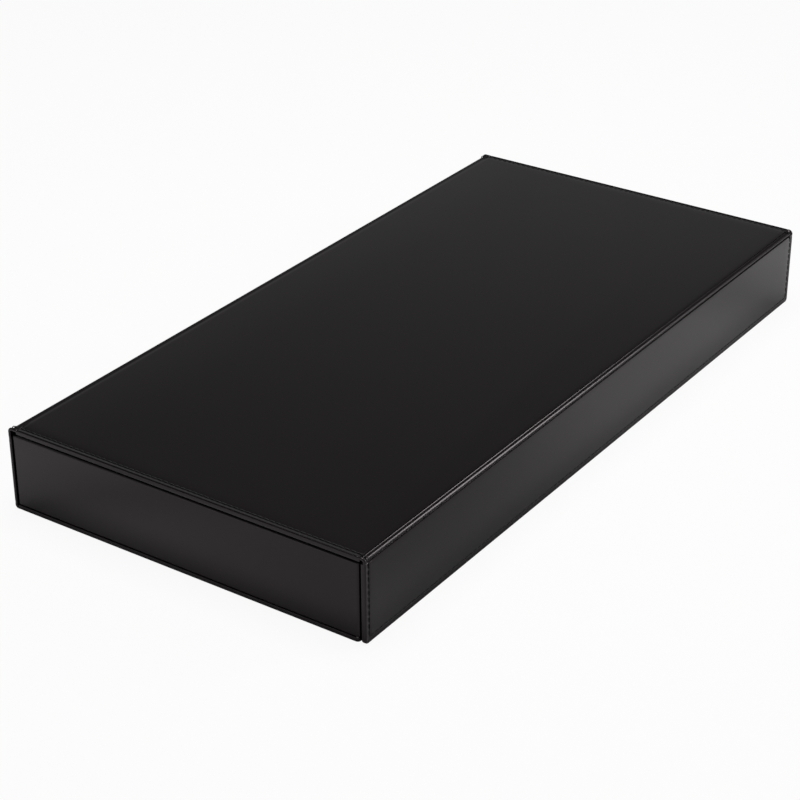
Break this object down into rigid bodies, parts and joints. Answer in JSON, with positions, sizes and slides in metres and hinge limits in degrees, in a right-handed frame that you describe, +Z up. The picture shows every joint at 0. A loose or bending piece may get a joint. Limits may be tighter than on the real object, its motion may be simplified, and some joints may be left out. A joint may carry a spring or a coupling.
{
  "type": "eyeglasses storage box",
  "caption": "Flat book-style box of stitched leatherette boards: a hinged lid with a front flap closes over a tray divided into compartments for folded glasses.",
  "frame": {"origin": "under the middle of the closed box, on the surface that it stands on", "axes": "+Z up, Y along the length, the spine at -X and the front flap at +X"},
  "size_m": [0.252, 0.508, 0.054],
  "materials": {
    "leatherette": "black leatherette, fine smooth grain, satin",
    "suede": "charcoal microfibre suede, matt",
    "padding": "charcoal suede over thin foam, matt",
    "greyboard": "raw grey board",
    "nickel": "nickel-plated magnet",
    "steel": "plain punched steel"
  },
  "bodies": {
    "base": {"base_skin": "leatherette", "base_board": "greyboard", "base_liner": "suede", "base_fold": "leatherette", "spine_skin": "leatherette", "spine_board": "greyboard", "spine_liner": "suede", "tray_floor": "greyboard", "tray_wall_near": "greyboard", "tray_wall_far": "greyboard", "tray_wall_spine": "greyboard", "tray_wall_flap": "greyboard", "keeper_near": "steel", "keeper_middle": "steel", "keeper_far": "steel", "tray_wrap": "leatherette", "tray_wall_lining": "suede", "long_divider_1": "suede", "long_divider_2": "suede", "long_divider_3": "suede", "cross_divider_1": "suede", "cross_divider_2": "suede", "floor_pad_1_1": "padding", "floor_pad_1_2": "padding", "floor_pad_1_3": "padding", "floor_pad_2_1": "padding", "floor_pad_2_2": "padding", "floor_pad_2_3": "padding", "floor_pad_3_1": "padding", "floor_pad_3_2": "padding", "floor_pad_3_3": "padding", "floor_pad_4_1": "padding", "floor_pad_4_2": "padding", "floor_pad_4_3": "padding"},
    "lid": {"lid_fold": "leatherette", "lid_skin": "leatherette", "lid_board": "greyboard", "lid_liner": "suede"},
    "flap": {"flap_fold": "leatherette", "flap_skin": "leatherette", "flap_board": "greyboard", "flap_liner": "suede", "flap_magnet_near": "nickel", "flap_magnet_middle": "nickel", "flap_magnet_far": "nickel"}
  },
  "joints": [
    {"name": "lid_hinge", "type": "hinge", "parent": "base", "child": "lid", "pos_m": [-0.1247, 0, 0.0527], "axis": [0, -1, 0], "range_deg": [0, 180], "deforming": ["lid_fold"]},
    {"name": "flap_hinge", "type": "hinge", "parent": "lid", "child": "flap", "pos_m": [0.12535, 0, 0.05335], "axis": [0, -1, 0], "range_deg": [0, 90], "deforming": ["flap_fold"]}
  ]
}
